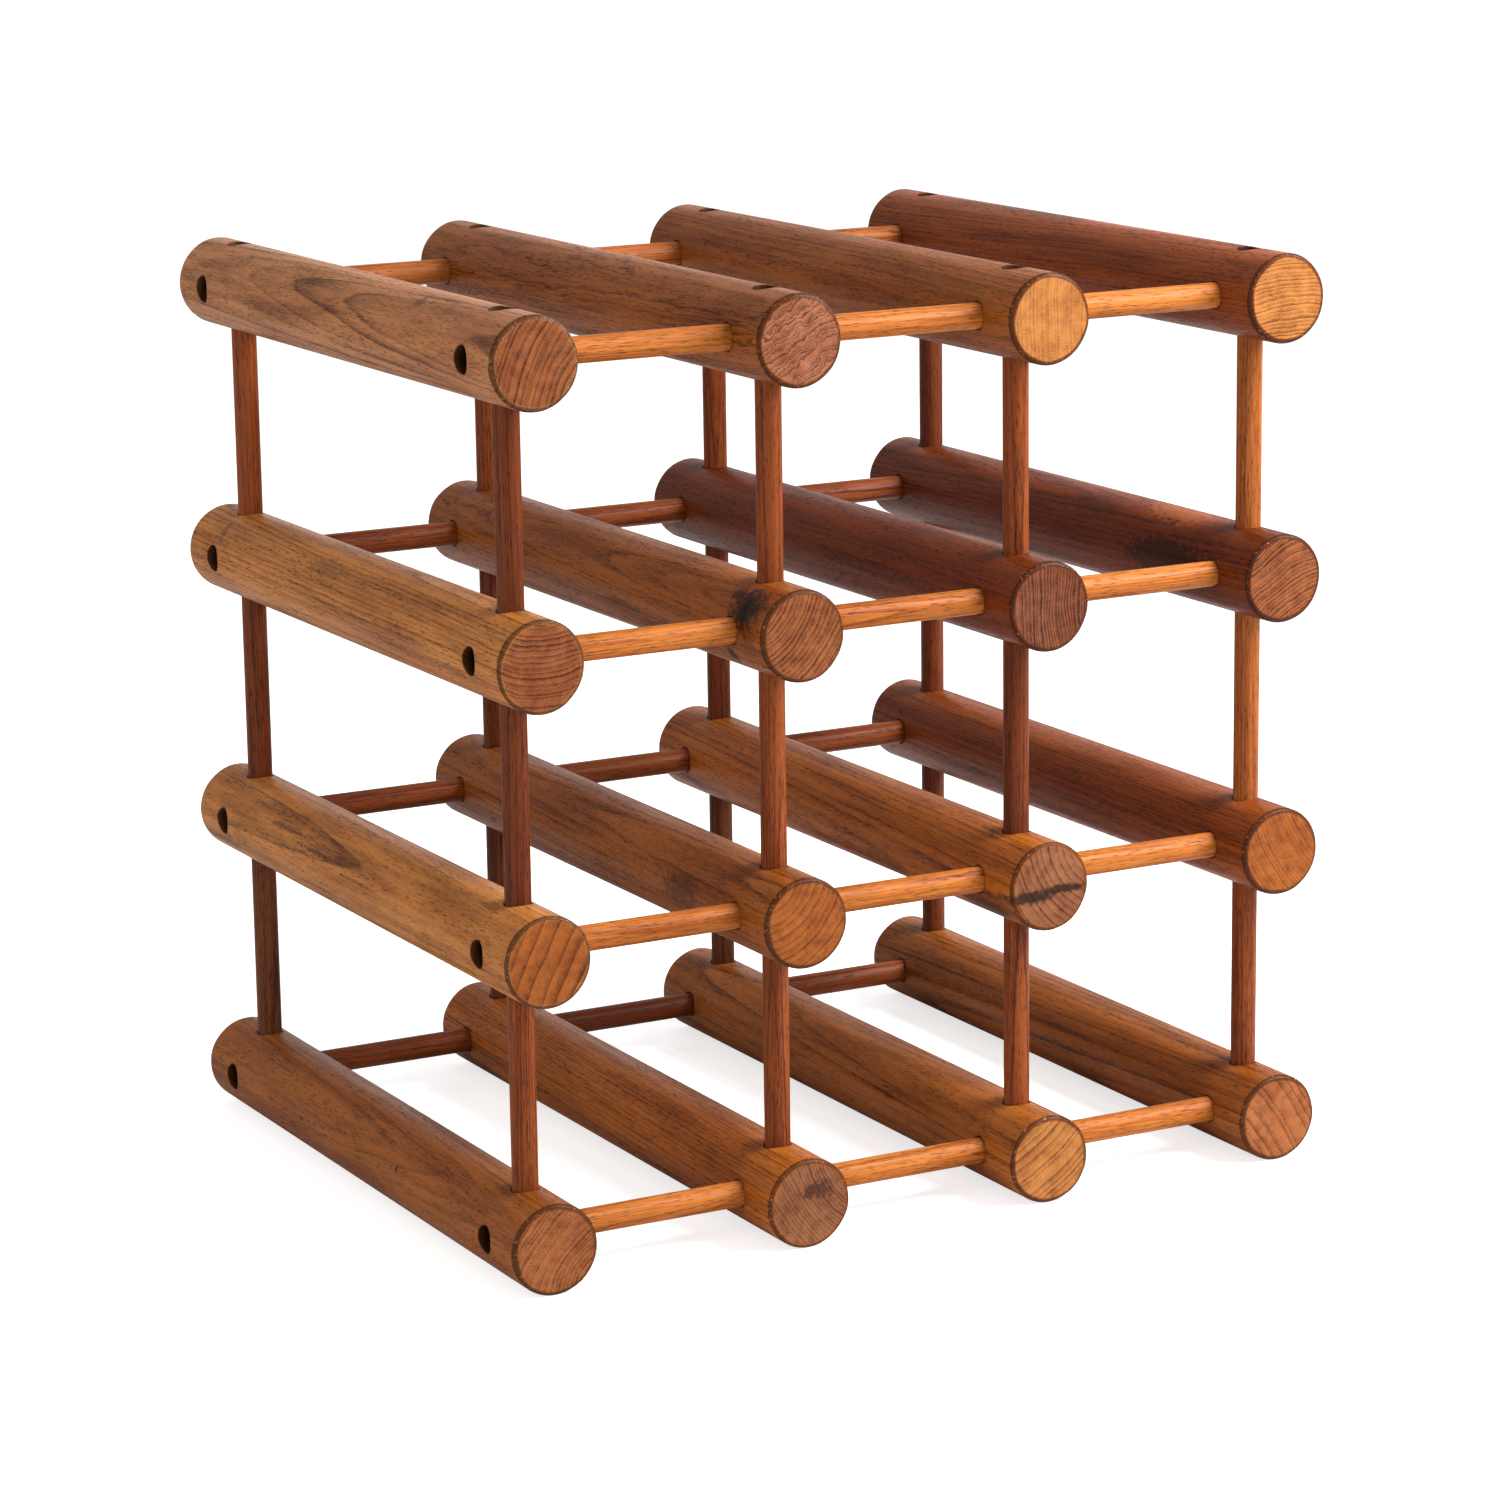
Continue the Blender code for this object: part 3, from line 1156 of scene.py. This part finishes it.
def bar_stocks() -> dict[tuple[int, int], Stock]:
    """Choose the wood of each bar.

    The table gives, by row from the bottom and column from the left, the bar's cut, the
    tone of its side and how strongly the rings show there, the same for its ends, and in
    millimetres the distance between rings and how far they wander and curl.

    Returns:
        The stock for each row and column.
    """
    wood = BarWood
    table = {
        (4, 1): (Cut(-28, 60, -0.035), wood.FAWN, 0.8, wood.BRICK, 0.9, 2.6, 1.5, 0.0),
        (4, 2): (Cut(-60, 70, 0.02), wood.NUT, 0.65, wood.BLUSH, 0.9, 1.9, 3.0, 1.5),
        (4, 3): (Cut(0, 110, 0.01), wood.NUT, 0.65, wood.GOLD, 0.5, 1.8, 1.0, 0.0),
        (4, 4): (Cut(-88, 80, 0.02), wood.RUST, 0.6, wood.GOLD, 1.1, 1.6, 1.5, 0.15),
        (3, 1): (Cut(88, 50, 0.02), wood.TAWNY, 0.65, wood.BRICK, 0.95, 1.9, 1.2, 0.2),
        (3, 2): (Cut(140, 45, 0.03), wood.NUT, 0.5, wood.BRICK, 1.0, 1.9, 1.5, 0.1),
        (3, 3): (Cut(2, 100, 0.01), wood.LIVER, 0.6, wood.UMBER, 1.2, 1.4, 1.5, 0.15),
        (3, 4): (Cut(-64, 85, 0.02), wood.LIVER, 0.7, wood.BRICK, 1.2, 1.5, 1.5, 0.2),
        (2, 1): (Cut(-28, 130, 0.02), wood.TAWNY, 0.75, wood.ORANGE, 1.0, 5.8, 1.0, 0.0),
        (2, 2): (Cut(130, 38, 0.02), wood.NUT, 0.7, wood.ORANGE, 0.7, 2.8, 1.5, 0.2),
        (2, 3): (Cut(35, 42, 0.03), wood.CARAMEL, 0.6, wood.PLUM, 0.9, 2.8, 1.0, 0.0),
        (2, 4): (Cut(32, 120, 0.01), wood.RUST, 0.7, wood.ORANGE, 0.7, 1.4, 1.0, 0.1),
        (1, 1): (Cut(-40, 48, 0.02), wood.NUT, 0.4, wood.SAND, 0.8, 1.5, 1.5, 0.25),
        (1, 2): (Cut(35, 75, 0.02), wood.CARAMEL, 0.7, wood.PLUM, 0.8, 1.5, 1.0, 0.1),
        (1, 3): (Cut(125, 90, 0.03), wood.HAZEL, 0.6, wood.GOLD, 1.0, 2.9, 1.0, 0.0),
        (1, 4): (Cut(215, 110, 0.03), wood.NUT, 0.75, wood.SAND, 0.75, 3.6, 1.0, 0.0),
    }
    stocks = {}
    for place, (cut, side, on_side, end, on_end, *rings) in table.items():
        name = "oiled_teak_bar_row{}_col{}".format(*place)
        tones = Tone(*side.value, on_side), Tone(*end.value, on_end)
        marks = BLEMISHES.get(place, ())
        stocks[place] = Stock(cut, OiledTeak(name, *tones, *rings, blemishes=marks))
    return stocks


class DowelWood(Enum):
    """The tones given to the dowels, each with its ground and ring colours."""

    HONEY = ("c07230", "884418")
    AMBER = ("a9602c", "6e3515")
    RUSSET = ("88441e", "52220e")
    CHESTNUT = ("6e3418", "401a0c")
    DARK = ("6a3a20", "341a0c")


# The dowels' tones by initial, rows from the top and gaps from the left, or gaps from the
# top and columns from the left for the uprights. The dowels at the rear, and those lower
# down, get darker tones than those at the front.
WOODS = {wood.name[0]: wood for wood in DowelWood}
DOWEL_LAYOUT = {
    (Lie.ACROSS, End.FRONT): ("HHH", "HHH", "HHH", "HHH"),
    (Lie.ACROSS, End.REAR): ("AAA", "RRR", "RRR", "RCR"),
    (Lie.UPRIGHT, End.FRONT): ("CRRA", "CRCA", "RRRR"),
    (Lie.UPRIGHT, End.REAR): ("RRRC", "CCCC", "DDDC"),
}


def dowel_stocks(lie: Lie) -> dict[tuple[End, int, int], Stock]:
    """Choose the wood of each dowel that lies one way.

    Args:
        lie: How the dowels lie.

    Returns:
        The stock for each end, line and gap: the line is a row for a dowel across and a
        column for an upright.
    """
    rng = np.random.default_rng(7)
    stocks = {}
    for end in End:
        layout = DOWEL_LAYOUT[lie, end]
        for step, woods in enumerate(layout):
            for place, initial in enumerate(woods, start=1):
                level = len(layout) - step
                line, gap = (level, place) if lie is Lie.ACROSS else (place, level)
                cut = Cut(rng.uniform(0, 360), rng.uniform(40, 120), rng.uniform(0, 0.02))
                tone = Tone(*WOODS[initial].value, 0.8)
                name = f"oiled_teak_{lie.name.lower()}_{end.name.lower()}_{line}_{gap}"
                finish = OiledTeak(name, tone, tone, ring_mm=rng.uniform(1.2, 2.5),
                                   wander_mm=1.0, fibre_gain=1.9, glow=0.2)
                stocks[end, line, gap] = Stock(cut, finish)
    return stocks


# ---------------------------------------------------------------- studio


def aimed(azimuth: float, elevation: float) -> Vector:
    """Give the direction from the rack towards a compass angle and a height angle.

    Args:
        azimuth: Degrees from the front towards the right.
        elevation: Degrees above the horizon.

    Returns:
        The direction, of length 1.
    """
    a, e = math.radians(azimuth), math.radians(elevation)
    return Vector((math.sin(a) * math.cos(e), -math.cos(a) * math.cos(e), math.sin(e)))


@dataclass(frozen=True)
class SoftLight:
    """A square soft light that faces the rack.

    Attributes:
        name: Name of the light.
        azimuth: Degrees from the front towards the right.
        elevation: Degrees above the horizon.
        distance: Metres from the middle of the rack.
        size: Metres along each side.
        watts: Its power.
    """

    name: str
    azimuth: float
    elevation: float
    distance: float
    size: float
    watts: float

    CENTRE = Vector((0, 0, 0.18))

    def build(self) -> None:
        """Hang the light."""
        light = bpy.data.lights.new(self.name, "AREA")
        light.size = self.size
        light.energy = self.watts
        lamp = bpy.data.objects.new(self.name, light)
        way = aimed(self.azimuth, self.elevation)
        lamp.location = self.CENTRE + way * self.distance
        lamp.rotation_euler = way.to_track_quat("Z", "Y").to_euler()
        bpy.context.scene.collection.objects.link(lamp)


LIGHTS = (
    SoftLight("key_light", 50, 38, 1.15, 0.6, 27),
    SoftLight("back_card", 152, 12, 2.0, 1.0, 2),
    SoftLight("left_fill", -75, 8, 2.0, 1.6, 16),
)


@dataclass(frozen=True)
class Studio:
    """A pale floor, even light all round, soft lights and the camera.

    Attributes:
        target: Point that the camera looks at.
        azimuth: The camera's degrees from the front towards the right.
        elevation: Its degrees above the horizon.
        roll: Degrees that it leans.
        distance: Metres from the target.
        lens_mm: Its focal length.
        ambient: Strength of the even light.
        floor_lift: How much whiter the floor shows than the light that it throws back.
        floor_half: Half the side of the floor, in metres.
    """

    target: tuple[float, float, float] = (0.0026, 0.0, 0.1588)
    azimuth: float = -28.215
    elevation: float = 12.679
    roll: float = -0.799
    distance: float = 1.9007
    lens_mm: float = 112.76
    ambient: float = 0.5
    floor_lift: float = 0.7
    floor_half: float = 40.0

    def add_floor(self) -> None:
        """Lay a wide pale floor."""
        material = bpy.data.materials.new("pale_floor")
        material.use_nodes = True
        tree = material.node_tree
        shader = tree.nodes["Principled BSDF"]
        shader.inputs["Base Color"].default_value = (0.78, 0.78, 0.78, 1)
        shader.inputs["Roughness"].default_value = 0.9
        shader.inputs["Specular IOR Level"].default_value = 0.0
        shader.inputs["Emission Color"].default_value = (1, 1, 1, 1)
        seen = add(tree, "LightPath", output="Is Camera Ray")
        lift = add(tree, "Math", {0: seen, 1: self.floor_lift}, operation="MULTIPLY")
        tree.links.new(lift, shader.inputs["Emission Strength"])
        mesh = bpy.data.meshes.new("floor")
        half = self.floor_half
        corners = [(-half, -half, 0), (half, -half, 0), (half, half, 0), (-half, half, 0)]
        mesh.from_pydata(corners, [], [(0, 1, 2, 3)])
        mesh.materials.append(material)
        floor = bpy.data.objects.new("floor", mesh)
        bpy.context.scene.collection.objects.link(floor)

    def add_world(self) -> None:
        """Surround the scene with even light, which shows as a white backdrop."""
        world = bpy.data.worlds.new("studio")
        world.use_nodes = True
        tree = world.node_tree
        seen = add(tree, "LightPath", output="Is Camera Ray")
        lift = {0: seen, 1: 1.0 - self.ambient, 2: self.ambient}
        strength = add(tree, "Math", lift, operation="MULTIPLY_ADD")
        background = tree.nodes["Background"]
        background.inputs["Color"].default_value = (1, 1, 1, 1)
        tree.links.new(strength, background.inputs["Strength"])
        bpy.context.scene.world = world

    def add_camera(self) -> None:
        """Set up the camera."""
        camera = bpy.data.cameras.new("camera")
        camera.lens = self.lens_mm
        camera.sensor_width = 36.0
        eye = bpy.data.objects.new("camera", camera)
        way = aimed(self.azimuth, self.elevation)
        place = Matrix.Translation(Vector(self.target) + way * self.distance)
        turn = way.to_track_quat("Z", "Y").to_matrix().to_4x4()
        lean = Matrix.Rotation(math.radians(self.roll), 4, "Z")
        eye.matrix_world = place @ turn @ lean
        bpy.context.scene.collection.objects.link(eye)
        bpy.context.scene.camera = eye

    def build(self) -> None:
        """Build the whole studio."""
        self.add_floor()
        for light in LIGHTS:
            light.build()
        self.add_world()
        self.add_camera()
        bpy.context.scene.view_settings.view_transform = "Standard"


def main() -> None:
    """Build the rack and the studio, and report each piece."""
    logging.basicConfig(level=logging.INFO, format="%(name)s: %(message)s")
    rack = WineRack(bar_stocks(), dowel_stocks(Lie.ACROSS), dowel_stocks(Lie.UPRIGHT))
    for piece in rack.build():
        LOG.info("%s: %d faces", piece.name, len(piece.data.polygons))
    Studio().build()
    LOG.info("studio: %d lights", len(LIGHTS))


if __name__ == "__main__":
    main()
